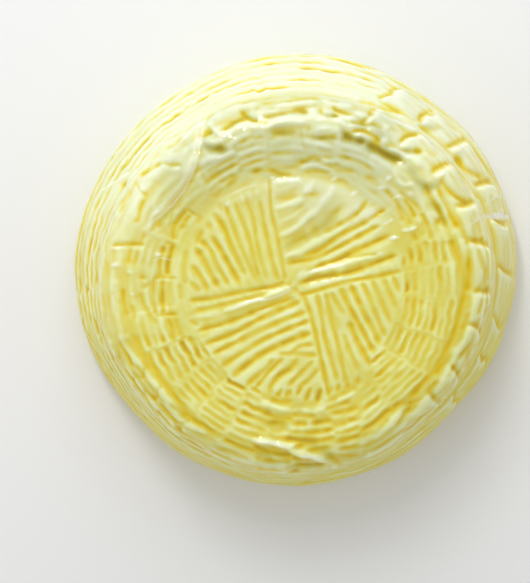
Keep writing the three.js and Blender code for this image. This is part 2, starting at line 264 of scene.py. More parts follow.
MARKS["lower right fan"] = [
    (1.1, 1.9, (316.5,292), (322,317), (325,338), (332,362), (338,381)),
    (1, 1.8, (325,291), (331.4,318), (339,349), (347,386)), (1.2, 2.2, (330,291), (338,304.5), (346,316)),
    (1.7, 2.4, (348.5,319), (356,338), (364,352.7), (371,367)),
    (0.8, 1.9, (343.6,333), (350.5,352.7), (359,371)),
    (1.6, 2.3, (339.5,286), (349.7,307.5), (362.7,331), (375,355)),
    (1.4, 2.1, (350,283), (362.7,310.6), (375,334), (380,347)), (1, 1.9, (361,280), (373.5,308), (386,339)),
    (0.9, 1.8, (371,278), (379,295), (391,324)), (0.8, 1.8, (382,276), (391,295), (397,309)),
    (0.8, 1.7, (392,274), (400,294)),
]
MARKS["pits under the disc"] = [
    (1.5, 1.7, (277,398), (282.3,389)), (1.2, 1.8, (285.5,398), (291.4,390)),
    (1.2, 1.7, (269.5,394), (273,388)), (1.1, 1.6, (297,396), (301.9,386)),
    (1.5, 1.7, (305.5,403), (311,388)), (2, 2, (316.8,403), (321.2,388)), (1, 1.8, (331,394), (331.5,386)),
    (1.1, 1.8, (338,393), (338.8,384)), (1.2, 1.8, (347,391), (348.5,382)), (1, 1.8, (357,386), (359,377)),
    (0.9, 3, (268,400), (283,403), (294,401)), (0.8, 2, (327,401), (345,394), (358,386)),
]
MARKS["top of the band"] = [
    (0.8, 1.5, (236.5,143.8), (255.7,138), (264.3,136.6)),
    (0.8, 1.5, (235.6,151.4), (255.7,144.7), (265.2,144.3)),
    (1, 1.6, (238.4,160), (259.5,153.4), (270,152)), (1.1, 1.6, (240.4,167), (257.6,161), (271,159)),
    (1.4, 3, (251,173.5), (270,170.5), (280,174.4), (292,176)),
    (0.9, 1.4, (207,172), (217.4,166), (236,157)), (1, 2.1, (210,197), (217,193), (224,188)),
    (1.6, 2.4, (207.8,180), (227,168.7), (237,163.5)), (1.2, 1.6, (220,182.5), (234.6,175.4)),
    (1.1, 2.3, (226,186), (240,176)), (0.7, 1.4, (202.5,171), (205,179), (209,183)),
    (0.6, 1.5, (270,138.5), (284,138.3), (304,138)), (0.7, 1.6, (271,153.4), (290,152.4)),
    (1, 2.8, (272,165.5), (284.4,168), (299,166), (311,161)), (0.4, 1.3, (267,132), (269,150), (271,170)),
    (0.4, 1.3, (234,141), (238,160), (241,172)), (1.6, 2.8, (309,136.6), (322,138.4), (338.3,137.4)),
    (0.9, 1.5, (344,129), (342.5,143)), (0.6, 1.4, (343,150.5), (362,155)),
    (1.1, 1.6, (341,156), (362,163), (373,170)), (0.5, 1.4, (362,154.3), (374,162)),
    (0.4, 1.3, (379,158), (373,170)), (0.7, 1.6, (322,157), (333,158)),
    (0.8, 1.5, (316,163), (333,166.7), (339,163.9)), (0.9, 1.6, (305,172.5), (317,171.5), (330,173.5)),
    (1.1, 2.8, (335,169.6), (344,171), (355,172)), (0.6, 1.5, (364,176), (378,180)),
    (-0.7, 1.9, (317,129), (327,127.4), (339,130.6)), (-0.6, 1.8, (322,161), (339,162)),
    (1.3, 4.2, (268,132.5), (283,134), (297,132)), (0.6, 1.4, (309,126), (308.3,131), (307,137)),
    (0.4, 1.3, (300,129), (303,140), (305,154)), (-0.6, 2.8, (303,141), (313,144), (322,145), (328,149)),
    (-0.5, 2, (288,146.8), (297,147.3), (304,151)),
    (1.3, 2.6, (299,164.5), (307,160.5), (314,158), (322,161.5)),
    (-0.6, 2, (299,168.5), (308,166), (316,165), (326,168), (331,170.5)),
    (-0.5, 2.2, (231,143.5), (238,138.5), (246,134), (253,131.5)),
    (-0.5, 2.2, (345,144.5), (356,148), (367,153), (377,159), (386,165.5)),
    (-0.4, 1.8, (344,153), (355,156), (366,161), (376,168)),
    (-0.5, 2, (274,141), (281,138.2), (291,137.6), (300,138.2)),
    (-0.5, 2, (241,165), (256,160.5), (269,158.3)), (-0.4, 1.8, (239,156), (254,149.6), (268,147.6)),
    (-1, 2.3, (200,168), (207,162), (216,158), (224,156), (233,151)),
]
MARKS["right of the band"] = [
    (1.1, 1.5, (394,201), (402.6,210), (412,225)), (1.4, 1.9, (403,198), (410,207.5), (416,219)),
    (1, 1.4, (399,191), (417,206.6), (427.5,225), (432,240)), (1.3, 2.2, (435,203), (440,213), (437,226)),
    (1.3, 1.6, (436,188), (448.6,213), (456.5,229)), (0.8, 1.6, (427.5,193), (436,208.5)),
    (1, 1.5, (386,190), (398,206), (404,222)), (0.8, 1.5, (421,222), (424,236)),
    (0.9, 1.6, (413,232), (417,242)), (-0.8, 1.3, (403,185), (413,184)), (-0.8, 1.4, (397,198), (401,195)),
    (-0.7, 1.4, (418,212), (424,213)), (-0.7, 1.4, (430,212), (440,218)),
    (-0.8, 1.3, (402,230), (410,230), (417,227)), (1.5, 2, (423,184), (427,190), (428,197)),
    (0.9, 1.3, (436,186), (444,203), (455,228)), (1.3, 2.6, (430,199), (439,213), (446,228)),
    (1.2, 2, (446,212), (455,227)), (-0.8, 2, (385.5,181), (391.5,176)),
    (-0.7, 1.6, (407,192.5), (413,196)),
    (-1, 2, (392,171.5), (396,177.5), (401,183), (407,185.5), (413,183.5)),
    (-1.1, 2.8, (403.5,160), (409,157.5), (414.5,161.5), (420,169)), (-0.7, 1.8, (388,222), (394,220)),
    (-0.7, 1.9, (389,239), (398,237)), (-0.6, 1.5, (432,191), (440,206), (447,219)),
    (-0.5, 1.4, (416,192), (424,206), (433,224)), (-0.7, 1.6, (449,235), (454,232)),
]
MARKS["left of the band"] = [
    (1.2, 1.7, (173,241), (174.5,227), (187,209)), (0.8, 1.4, (164.5,235), (169,224), (173,212)),
    (0.9, 1.6, (181,230), (186,220), (192,215)), (1.1, 2.3, (158,229), (161,217)),
    (0.7, 1.3, (186,208), (193,214), (200,217), (198,224)), (1.2, 1.6, (159.5,278), (160.3,261), (164,246)),
    (1.7, 2, (167,277), (168.7,261), (173,244)), (0.9, 1.5, (153,278.5), (164.5,277.4), (177,278.6)),
    (0.7, 1.3, (165,243), (175,244.5)), (1.4, 1.5, (153.6,279), (153.8,296), (156,315)),
    (1.6, 1.8, (162,280), (162.2,296), (163.4,315)), (0.5, 1.4, (168,281), (170,313)),
    (1, 1.4, (154.5,315.6), (166.9,314.8), (178,314.6)), (1.3, 1.5, (168,317), (171.8,329), (175,343)),
    (1.3, 1.4, (175.4,317), (178,327), (184,340)), (0.8, 2, (187,250), (184,270), (186,285)),
    (0.8, 1.8, (190,321), (199,326)), (0.6, 1.5, (180,284), (181,300)),
    (-0.7, 1.5, (154.5,254), (158,255.5), (163,254)),
]
MARKS["bottom of the band"] = [
    (-0.8, 3.2, (261,402), (272,406), (283,409), (292,406)),
    (-0.6, 2.2, (303,411), (313,411.8), (325,408.6)), (-0.6, 2.4, (336,401), (348,396.4), (356,391)),
    (1.2, 1.8, (262,413), (275,417), (284,418.5), (293,420)), (1.5, 4.2, (265,424), (277,424), (290,425.5)),
    (1, 1.5, (293,416), (303,416.3), (316,416.6)), (1.5, 2.4, (294,424.3), (301,424.8), (308,424.3)),
    (1.5, 2.6, (310.5,424), (320,423), (332,420.5)),
    (1.4, 2.4, (294,433.2), (306,433.4), (318,432.6), (333,430)),
    (1.5, 2.9, (286,439.5), (297,441), (310,441.8), (322,441), (335,438.5)),
    (1.2, 3.4, (297,444.5), (306,448)), (1.6, 4.2, (308,451), (320,449.6), (331,448.5)),
    (1, 1.5, (328,409), (338,405.5), (350,402)), (1.1, 2.4, (330,413.5), (345,412.3), (360,407.5)),
    (1, 2.2, (331,425.5), (340,424.5), (348,422)), (1.1, 1.8, (346,421.5), (354,420), (362,417.5)),
    (0.9, 1.6, (334,433.5), (348,431.5), (361,427)), (1.2, 2.4, (337,442.5), (348,440.4), (361,436)),
    (0.9, 2, (339,450), (350,449), (361,446.5)), (0.9, 2, (337,457.5), (348,458), (360,456)),
]
MARKS["top folds"] = [
    (1.6, 2.2, (262,119), (270,117.8), (280,115.5), (290,113.4), (300,112), (309,114.5)),
    (1.7, 1.9, (241,112.5), (246,118), (252,121.5), (262,123), (269,125)),
    (1.5, 2.3, (223,132.5), (230,127.5), (236,123.5), (243,120.5), (248,120)),
    (2, 3, (202,139), (208,135.5), (215,133)), (1.3, 4, (206,152), (217,150), (229,149)),
    (1.6, 1.8, (331,108.5), (338,112), (345,115.5), (350,116.5)),
    (1.6, 1.8, (320,110), (321,115), (326,117.8), (334,117.8), (339,116.5)),
    (1.7, 1.8, (350,123.5), (358,125.3), (366,126), (373,126.5), (381,131)),
    (1.4, 1.9, (352,132.8), (360,131.3), (368,133.8), (375,138), (381,144)),
    (2.1, 2.6, (343,133), (348,137.5), (356,140.5), (366,143.5)),
    (2.5, 4.2, (365,143.5), (376,149.5), (386,155.5), (396,160.5), (405,163)),
    (1.4, 1.6, (383,145), (393,149), (402,151.5), (411,152.4)), (1.2, 2, (410,152.4), (423,152.4)),
    (1, 1.8, (163,164), (174.3,166), (183,165.4)), (1, 1.6, (140,175.5), (152.4,169.4), (164,163.4)),
    (0.6, 1.3, (218,146), (228,141), (238,136), (250,132), (262,130.5)),
    (0.6, 1.3, (215,137.5), (224,129.5), (232,123)),
    (0.6, 1.3, (262,104), (276,103), (290,101.5), (303,99.5), (318,98)),
    (0.7, 1.4, (268,110.5), (282,109.5), (296,108), (312,108.5)),
    (-1.2, 3.2, (212,121), (220,115.5), (232,111), (245,108), (259,106)),
    (-1.2, 2.6, (276,109), (286,107.2), (300,105.5), (316,103.5)),
    (-1.1, 2.5, (322,102), (330,105.3), (340,107), (353,109)),
    (-1.2, 2.6, (219,138.5), (228,134), (236,130), (244,127.5)),
    (-0.8, 2.4, (248,127), (256,128.6), (262,128)),
    (-1.3, 2.6, (262,128.8), (272,125.5), (282,123.3), (293,122.5), (305,123.5)),
    (-1.1, 2.4, (317,122), (326,119.3), (336,121.3), (346,127.5)),
    (-1, 1.8, (343,115.3), (350,119.5), (356,123)), (-0.9, 2, (348,126), (356,127.6), (364,129)),
    (-1.4, 2.5, (364,129.5), (372,132.5), (380,137.5), (387,145)),
    (-1, 2.1, (388,147.5), (396,152.5), (404,157)), (-0.9, 1.6, (354,136), (362,137), (368,138.5)),
    (-1.1, 3.2, (352,113), (362,117), (374,121)), (-1, 3, (182,143), (194,131), (206,122)),
    (-0.9, 3.2, (206,145), (218,143), (230,139)), (-0.9, 2.2, (172.4,172.5), (182,167.7)),
    (-1.2, 2.6, (168,156), (172,153)), (-1, 2.1, (210,122.5), (213,129), (218,134), (223,136.5)),
    (0.7, 3.2, (203,148), (200,162), (195,173), (189,184), (181,195), (171,207), (161,220)),
    (-0.9, 2.2, (371,111.5), (378,118), (386,121), (396,124), (406,127), (419,133)),
    (-0.7, 1.8, (383,132), (388,129)), (-1.3, 3.6, (183,136), (188,134)), (-1, 2.8, (193,129), (198,125)),
]
MARKS["left folds"] = [
    (1, 1.3, (113,246.4), (128,244.4), (144.5,244.6)), (0.8, 1.2, (134.5,182), (141.5,191), (148,196.5)),
    (0.9, 3, (118,197), (123.3,184), (128,182)),
    (0.8, 1.4, (135,223), (139,217.8), (142.7,204.5), (149,195)),
    (0.6, 1.4, (119,214), (123.3,202), (131,189)), (0.9, 1.6, (122,288), (123.5,302), (127,317)),
    (0.7, 1.5, (131.5,305), (135.6,320)), (0.8, 2.1, (139,292), (145,307.5), (158,325)),
    (0.7, 1.4, (130.6,249), (129.4,265)), (0.6, 1.4, (138,250), (136.5,266)),
    (0.8, 1.6, (139.5,277.5), (147,278.2)), (0.8, 1.6, (142,288.5), (150.5,284)),
    (-0.7, 1.5, (112,248.8), (123.5,248)), (-0.7, 1.4, (111,266), (120,264.4)),
    (-0.7, 1.4, (139,186), (146.5,193.5)), (-0.8, 3.6, (116,279), (117,287)),
    (-0.7, 1.3, (153,215.5), (160,210.3)), (-0.6, 1.5, (126,272), (133,273)),
    (-0.5, 1.5, (130,294), (134,294.5)),
]
MARKS["bottom folds"] = [
    (-2.2, 3.4, (253,440), (262,441.5), (270,443), (280,445.5), (289,447), (296,444)),
    (-2, 2.8, (288,450), (298,454), (309,456.5), (318,459.5), (326,462.5)),
    (-0.7, 3.2, (260,466), (275,467.5), (289,466)), (-1, 5.5, (253,473), (268,475), (281,475), (290,471)),
    (-0.9, 4.5, (303,476), (314,476.5), (324,476)), (-1, 4.2, (331,463), (337,469), (346,470), (357,465)),
    (1.4, 4, (294,466), (296,474), (293,484)),
    (1.3, 1.9, (253,446), (264,451.6), (279.5,455.2), (292,454.6)),
    (1, 2.1, (255,459), (267.5,461.5), (292,462.4)), (0.8, 1.5, (291,459.4), (311,459.4)),
    (1.2, 3, (293,465.7), (303,467), (327,465)), (0.9, 1.9, (257,468.5), (271,470), (282,470.6)),
    (1, 3, (323.7,455), (331,458), (342,467)), (0.8, 3, (289,478), (300,469)),
]
MARKS["right side"] = [
    (0.9, 2, (358,100), (376.5,104.6), (402,113)), (0.8, 1.6, (376,112), (386,116), (397,121.5)),
    (0.7, 1.5, (462,137.7), (474.4,153), (492.6,176), (501.5,191)),
    (0.7, 1.5, (436,116.7), (444.7,124.3), (457,132.8)), (0.6, 1.4, (418,141.6), (426.6,149.2), (437,157)),
    (1.3, 2.1, (438,179), (447.6,192.3), (457.2,199), (467,202)),
    (1.3, 2.1, (456,156), (465.8,168.3), (473.4,174), (484,177)),
    (1.3, 2.3, (404,152), (412.2,154), (421.5,153)), (1.2, 2.3, (426,129), (433.3,130.2), (440.5,129)),
    (-0.7, 1.3, (490,198), (495,195.5)), (-0.7, 1.3, (472,221), (478,218.5)),
    (0.9, 1.5, (441,184), (449,192), (457,200), (468,205)), (0.8, 1.5, (457,210), (467,205), (474,202)),
    (0.6, 1.2, (446,163), (455,173), (463,183), (471,194)), (0.6, 1.2, (451,162), (463,176), (479,199)),
    (0.9, 1.6, (455,155), (460,160), (465,168), (473,175.5), (485,180)),
    (0.8, 1.5, (475,187), (484,183), (491,179)), (1.2, 3.4, (419,124.5), (428,128), (437,130)),
    (0.6, 1.2, (463,137), (472,146), (482,160), (491,173)),
    (0.5, 1.2, (424,150), (430,156), (436,156), (439,150)),
    (0.8, 1.4, (400,143), (408,137), (418,133.5), (422,132.5)), (0.8, 1.4, (418,119), (424,114), (434,110)),
    (-0.9, 1.5, (399,147.5), (404,142), (411,138.5), (419,135.5), (432,144)),
    (-0.9, 1.5, (416,123.5), (423,118.5), (429,115), (437,111)), (-0.8, 1.6, (436,177.5), (442,175)),
    (-0.8, 1.6, (453,152.5), (460,150)), (-0.7, 1.5, (479,236), (483,234)),
    (-0.7, 1.5, (497,213), (502,211)),
]

# The share of its depth that a mark of a group has, and how far in px its ends are blunt.
GROUP_DEPTH = {"top of the band": 0.72, "bottom of the band": 1.15, "right of the band": 0.85}
BLUNT = {"top of the band": 3.0, "bottom of the band": 2.5, "top folds": 2.0}
# In half widths: how far an end is drawn out, and how far a mark or a patch can reach.
LEAD, FAN_LEAD, MARK_REACH, PATCH_REACH = 2.2, 3.6, 4.2, 2.4
# Half width in px from which the painted shade in a groove gets paler, and the first mark's seed.
FULL_CORE, FIRST_MARK_SEED = 2.4, 1000

# Where the film is doubled or creased, and painted highlights where it glints: how white, half
# width in px, and points in px.
FILM_CREASES_AND_GLINTS = [
    (0.2, 3.6, (201,112), (199.5,130), (197.5,145), (193,160), (188,173), (180,188), (168,204), (155,218),
     (142,230)),
    (0.5, 0.8, (206,113), (203.5,128), (202,140), (198.5,155), (194,170), (186,187), (176,201), (165,212),
     (152,222), (141,232)),
    (0.4, 0.7, (197,126), (196,146), (190.5,163), (183,180), (172,195), (160,207), (148,220)),
    (0.9, 1.4, (153,215), (157,212), (160,208.5)), (0.5, 1.2, (97,194), (108,186), (120,178), (131,171)),
    (0.9, 3.2, (485,216), (498,216.5), (510,217)), (0.5, 0.9, (460,230), (473,222), (484,216)),
    (0.5, 0.8, (483,206), (492,198.5), (500,197), (507,194)), (0.6, 1.4, (79.5,307), (84,319), (91,333)),
    (0.35, 1, (150,262), (161,258), (176,262)), (0.3, 1, (228,196), (246,188), (262,184)),
    (0.7, 1.5, (255,440.5), (266,441.5), (276,443.5), (284,446), (290,447.5), (295,443.5)),
    (0.7, 1.1, (297,454.5), (308,456), (317,458), (325,462)),
    (0.6, 1.3, (228,311), (236,307.5), (246,303.3), (256,300.6), (268,299.3), (278,296), (286,292.5),
     (295,286.5)),
    (0.25, 1.8, (198,316), (208,315.5), (218,314.5), (225,311.5)),
    (0.4, 0.8, (253,314.5), (263,310.8), (272,307.5)),
    (0.5, 0.8, (272,318), (281,314.3), (289,312.8), (296,307.5), (302,303.5)),
    (0.35, 1.2, (272,357.5), (277,355)), (0.35, 0.8, (283,363.5), (287,360.5)),
    (0.6, 1.2, (305,272.8), (316,270.6), (325,268.4), (335,266.3), (346,263.7)),
    (0.35, 0.8, (371,233), (380,229)), (0.3, 0.9, (318,283.5), (334,279.5), (348,277.5)),
    (0.8, 1.2, (270,177.8), (275,177.3)), (0.8, 1.7, (277,181.5), (284,181)),
    (0.8, 1.5, (287,181), (298,180)), (0.6, 1.6, (330.5,180.5), (336.5,177.5)),
    (0.6, 1.7, (350,195), (358.5,191.5)), (0.7, 1.8, (378,187.5), (386,187)),
    (0.6, 1.4, (385,180), (391,176.5)), (0.6, 1.6, (382,224.5), (390,221.5)),
    (0.7, 1.5, (389,239.5), (399,237)), (0.7, 1.4, (226,205), (230,202)),
    (0.8, 1.6, (336,265.6), (345,263.8)), (0.6, 1.2, (435,177), (442,175)),
    (0.6, 1.2, (452,153), (460,150.5)), (0.6, 1, (399,148), (404,143)), (0.5, 1.3, (419,136.5), (430,143)),
    (0.6, 1.1, (113,247.5), (125,247.5)), (0.5, 1.2, (111,265.5), (119,265)),
    (0.6, 1.4, (155,254.5), (161,254.5)), (0.5, 1.2, (131,293.5), (134,294.5)),
    (0.5, 1.4, (401,230.5), (410,231)), (0.6, 1.3, (409,229), (417,227)),
    (0.6, 1.3, (472,222), (478,219.5)), (0.6, 1.2, (490,197.5), (495,196)),
    (0.6, 1.3, (392,198.5), (399,195)), (0.5, 1.2, (263,128), (276,125)),
    (0.5, 1.4, (318,128.5), (332,128)), (0.5, 1.3, (342,118), (352,122)), (0.5, 1.6, (405,158), (411,158)),
    (0.5, 1.3, (216,158), (224,155.5)),
]

# Painted olive shade where the skin lies in shade: how much, half width in px, and points in px.
PAINTED_OLIVE_SHADE = [
    (0.85, 7, (341,131), (347,138), (360,142), (380,152), (403,162)),
    (0.8, 6.5, (203,138), (209,147), (229,150)), (0.5, 3.5, (206,136), (216,132)),
    (0.55, 5, (264,118), (290,114), (313,115)), (0.5, 5, (225,130), (245,118), (263,123)),
    (0.7, 3.5, (320,114), (330,117), (342,118)), (0.5, 3, (330,109), (345,114)),
    (0.35, 5, (232,169), (256,172), (286,176)), (0.5, 5, (268,133), (298,132)),
    (0.6, 4, (309,137), (340,139)), (0.5, 4, (300,162), (323,160)),
    (0.65, 4.5, (352,126), (372,129), (386,142)), (0.5, 4, (398,150), (420,154)),
    (0.6, 5, (412,178), (426,187), (438,184)), (0.4, 5, (430,199), (440,213), (446,226)),
    (0.45, 4, (419,124), (438,130)), (0.3, 6, (284,247), (303,238), (322,227), (338,210)),
    (0.35, 4, (203,150), (195,173), (181,195), (160,221)), (0.4, 4, (210,176), (234,165)),
    (0.4, 4, (222,190), (240,179)), (0.3, 14, (166,180), (184,159), (204,141)),
    (0.5, 5, (404,164), (412,172), (418,180)), (0.4, 4.5, (295,466), (296,474)),
    (0.3, 5, (266,424), (290,426)), (0.35, 5, (300,441), (320,448), (334,460)),
    (0.5, 3.5, (297,465.5), (310,466), (325,464)), (0.35, 3, (256,455), (270,456), (290,456)),
    (0.35, 3, (256,463), (275,464), (290,463)),
]

# Stepped blocks on the right of the shoulder and side: stations from, to, and the angle each starts
# at. A block leans by some degrees for each mm of station.
BLOCKS = [(92.0, 112.0, [66.5, 53.2, 40.1, 26.6, 14, -1, -13, -27, -38, -50]),
          (122.5, 152.0, [64.5, 52.8, 41.3, 28.2, 17, 3, -11, -22, -36, -47])]
BLOCK_SLANT = 0.13

# The fans of the disc: the angle each starts at, and the angle its ribs run at.
FANS = [(14, 29), (98.6, 117), (191.8, 22), (286.5, 118)]

# Where the skin is made paler: the angle of the side wall that is palest, a painted highlight where
# it faces the key light, and in px on the face from one height to another and in spots, with their
# share, place and reach. A rib is paler on the side towards the key light, a painted highlight, and
# deeper on the other side, a painted shade.
PAINTED_LIGHT_WALL = 100
PALE_RISES = [(0.5, 240, 165), (0.3, 185, 150)]
PALE_SPOTS = [(0.5, 311, 208, 34, 30), (0.4, 376, 205, 36, 32), (0.28, 140, 256, 42, 76)]
PAINTED_LIGHT_SIDE = (-0.25, 0.97, 0)

# Passes that soften the relief, draw the film over it and take its mean, and how far in mm the
# film can go down into a groove.
SOFT_PASSES, FILM_PASSES, RELIEF_PASSES = 2, 14, 40
FILM_SLACK = 0.3
# The rings of the flat base, as shares of its edge.
BASE_RINGS = (0.75, 0.5, 0.25)

WHITE = (1, 1, 1, 1)
# The floor in metres, the strength of the light from all round, and the camera's sensor in mm.
FLOOR_SIZE, FLOOR_Z, SKY_STRENGTH, SENSOR = 6, -0.0002, 0.57, 36


def smooth_path(points, step=3.0):
    """Points every few pixels along a curve that passes through the given ones."""
    p = np.array(points, float)
    padded = np.vstack([2 * p[0] - p[1], p, 2 * p[-1] - p[-2]])
    out = []
    for k in range(len(p) - 1):
        a, b, c, d = padded[k:k + 4]
        count = max(1, int(np.ceil(np.linalg.norm(c - b) / step)))
        t = (np.arange(count) / count)[:, None]
        out.append(0.5 * (2 * b + (c - a) * t + (2 * a - 5 * b + 4 * c - d) * t ** 2
                          + (3 * b - a - 3 * c + d) * t ** 3))
    return np.vstack(out + [p[-1:]])


def along(path, reach):
    """The points within reach of a path, how far off it they are, how far along it, and its length."""
    low, high = path.min(0) - reach, path.max(0) + reach
    near = np.flatnonzero((PX > low[0]) & (PX < high[0]) & (PY > low[1]) & (PY < high[1]) & seen)
    best = np.full(len(near), np.inf)
    place = np.zeros(len(near))
    start = 0.0
    for p, q in zip(path[:-1], path[1:]):
        d = q - p
        length = math.hypot(*d)
        t = np.clip(((PX[near] - p[0]) * d[0] + (PY[near] - p[1]) * d[1]) / length ** 2, 0, 1)
        away = np.hypot(PX[near] - p[0] - t * d[0], PY[near] - p[1] - t * d[1])
        closer = away < best
        best = np.where(closer, away, best)
        place = np.where(closer, start + t * length, place)
        start += length
    keep = best < reach
    return near[keep], best[keep], place[keep], start


def widest(field, near, values):
    """Merges values into a field without summing them where lines meet."""
    field[near] = (field[near] ** 3 + values ** 3) ** (1 / 3)


# Marks fade where the photograph sees the skin too edge-on to place them.
legible = ease(0.15, 0.3, facing)
grooves, cores, ridges = np.zeros(len(S)), np.zeros(len(S)), np.zeros(len(S))


def mark(size, width, points, seed, blunt, lead):
    """A soft groove with wide shoulders, or a ridge, along a line, its ends drawn out or blunt."""
    near, away, place, length = along(smooth_path(points), MARK_REACH * width)
    taper = ease(-blunt, lead * width, place) * ease(-blunt, lead * width, length - place)
    taper *= legible[near]
    wide = width * (0.55 + 0.45 * taper) * (1 + 0.28 * noise(place / 9, 0, seed))
    cut = abs(size) * taper ** 0.7 * (1 + 0.36 * noise(place / 7, 1, seed))
    core = cut * np.exp(-(away / wide) ** 2)
    if size < 0:
        widest(ridges, near, core)
        return
    # A groove's core deepens its colour: painted shade.
    widest(cores, near, core * min(1, FULL_CORE / width))
    widest(grooves, near, 0.45 * core + 0.65 * cut * np.exp(-(away / wide / 1.8) ** 1.3))


def make_marks():
    seed = FIRST_MARK_SEED
    for group, marks in MARKS.items():
        depth, blunt = GROUP_DEPTH.get(group, 1), BLUNT.get(group, 1)
        lead = FAN_LEAD if "fan" in group else LEAD
        for size, width, *points in marks:
            mark(depth * size, width, points, seed, blunt, lead)
            seed += 1


def patches(lines, sharp):
    """A field that is raised along lines, with edges as sharp as the power given."""
    field = np.zeros(len(S))
    for size, width, *points in lines:
        near, away, place, length = along(smooth_path(points), PATCH_REACH * width)
        lead = min(10, length / 2)
        taper = ease(-width, lead, place) * ease(-width, lead, length - place)
        wide = width * (0.4 + 0.6 * taper)
        amount = size * taper ** 0.5 * legible[near]
        widest(field, near, amount * np.exp(-(away / wide) ** sharp))
    return field


make_marks()
# The film's creases and painted glints, and patches of painted olive shade.
creases_and_painted_glints = patches(FILM_CREASES_AND_GLINTS, 4)
painted_olive_shade = patches(PAINTED_OLIVE_SHADE, 2)


# -------- woven blocks
def weave(columns, first, origin, pitch, seed, lean=0.1, broken=1.0, jog=0.05):
    """Ribs cut into columns: how deep in a groove and in a joint each point is, and its column.

    The columns are counted from the angle `first`, and the ribs from the station `origin`.
    """
    span = 360.0 / columns
    place = ((A - first) / span) % columns
    near_row = np.floor((S - origin) / pitch)

    def shift(q):
        return 0.3 * either(q % columns, 7, seed) + jog * either(q % columns, near_row, seed + 1)

    column = np.floor(place)
    column = np.where(place - column < shift(column), column - 1, column)
    column = np.where(place - column > 1 + shift(column + 1), column + 1, column)
    inside = place - column
    block = math.radians(span) * bare_r
    end = np.minimum(inside - shift(column), 1 + shift(column + 1) - inside) * block
    key = column % columns
    t = (S - origin) / (pitch * (1 + broken * 0.1 * either(key, 2, seed)))
    t = t + broken * (0.5 * (key % 2) + 0.5 * either(key, 3, seed))
    t = t + lean * broken * either(key, 4, seed) * (inside - 0.5) * block / pitch
    t = t + 0.14 * noise(A / 360 * 5 * columns, S / (2 * pitch), seed + 9, 5 * columns)
    line = np.round(t)
    strength = 0.7 + 0.6 * noise(A / 360 * 3 * columns, line, seed + 11, 3 * columns)
    strength *= 1 + 0.4 * broken * either(key, line, seed + 3)
    reach = 1 - broken * (1 - ease(0, 2.8, end))
    off = np.abs(t - line)
    hollow = 0.6 * np.exp(-(off / 0.17) ** 2) + 0.2 * (1 + np.cos(2 * np.pi * off))
    groove = np.clip(strength * reach * hollow, 0, None)
    return groove, broken * np.exp(-(end / 0.9) ** 2), key


def blocks():
    """Steps that rise counter-clockwise to a sharp end, in two rows, with the grooves round them."""
    total, cracks = np.zeros(len(S)), np.zeros(len(S))
    turn = np.radians(np.maximum(bare_r, 1))
    for low, high, starts in BLOCKS:
        across = (S - low) / (high - low)
        row = ease(-0.05, 0.2, across) * (1 - ease(0.8, 1.05, across)) * (1.25 - 0.5 * across)
        beside = np.exp(-((S - low + 0.5) / 1.6) ** 2) * (0.55 + 0.5 * noise(A / 9, low, 375, 40))
        for top, bottom in zip(starts[:-1], starts[1:]):
            slant = BLOCK_SLANT * (S - low) + 1.2 * noise(S / 9, top, 376)
            run = ((top - slant - A + 180) % 360 - 180) * turn
            length = (top - bottom) * turn
            step = ease(-1.2, 1.4, run) * (1 - ease(-1.2, 1.4, run - length))
            rise = (2.1 + 0.5 * either(top, low, 377)) * (0.55 if top < 10 else 1)
            rise = rise * np.clip(1 - run / length, 0, 1) ** 0.8
            total += step * (row * rise - 0.7 * beside)
            cracks += row * np.exp(-((run + 1.6) / 1.3) ** 2) + 0.4 * step * beside
    return total, cracks


# -------- relief
# Each zone gives the height it adds in mm, and how deep in a groove each point is. The last whole
# numbers given to noise() and layered() are a seed and the cells round the cheese.
plain = 1 - 0.65 * in_view


def marks_relief():
    return 1.1 * ridges - grooves * (0.58 + 0.25 * ease(DISC, DISC + 8, S)), cores / 1.45


def fan_strands():
    """Fine strands that follow the ribs of each fan."""
    fan = np.searchsorted([start for start, ribs in FANS], A) - 1
    ribs = np.radians(np.array([ribs for start, ribs in FANS])[fan])
    length = X * np.cos(ribs) + Y * np.sin(ribs)
    across = Y * np.cos(ribs) - X * np.sin(ribs)
    return layered(length / 15, across / 1.6, 307, layers=2)


def disc_relief():
    """Low swells under the grooves of the disc, and a soft step down round it."""
    on_disc = 1 - ease(DISC - 6, DISC + 4, S)
    swells = 0.25 + 0.25 * layered(X / 19, Y / 19, 301) + 0.07 * layered(X / 5, Y / 5, 305)
    moat = np.exp(-((S - MOAT - 1.2 * noise(A / 15, 0, 311, 24)) / 2.4) ** 2)
    moat *= 0.5 * sector(A, 95, 50) + 0.12 * noise(A / 12, 0, 313, 30) + 0.15 * plain
    return on_disc * (swells + 0.16 * fan_strands()) - moat, 0.2 * moat


def band_relief():
    """The woven blocks round the disc, by rule where the photograph hides them."""
    end = 1 - ease(*BAND_STOP, S)
    band = ease(*BAND_START, S - 5 * in_view) * end
    groove, joint, key = weave(columns=24, first=10, origin=61.0, pitch=4.2, seed=331)
    size = 0.75 + 0.3 * sector(A, 190, 120) + 0.2 * noise(A / 20, S / 8, 321, 18)
    lumps = 0.4 * ease(56, 68, S) * end * layered(A / 8, S / 9, 333, 45)
    rise = 2.6 * sector(A, 78, 110) * ease(62, 86, S) * (1 - ease(86, 108, S))
    woven = 0.2 * either(key, 1, 335) - plain * (1.3 * size * groove + 0.2 * joint)
    return lumps + rise + band * woven, band * plain * size * 0.75 * groove


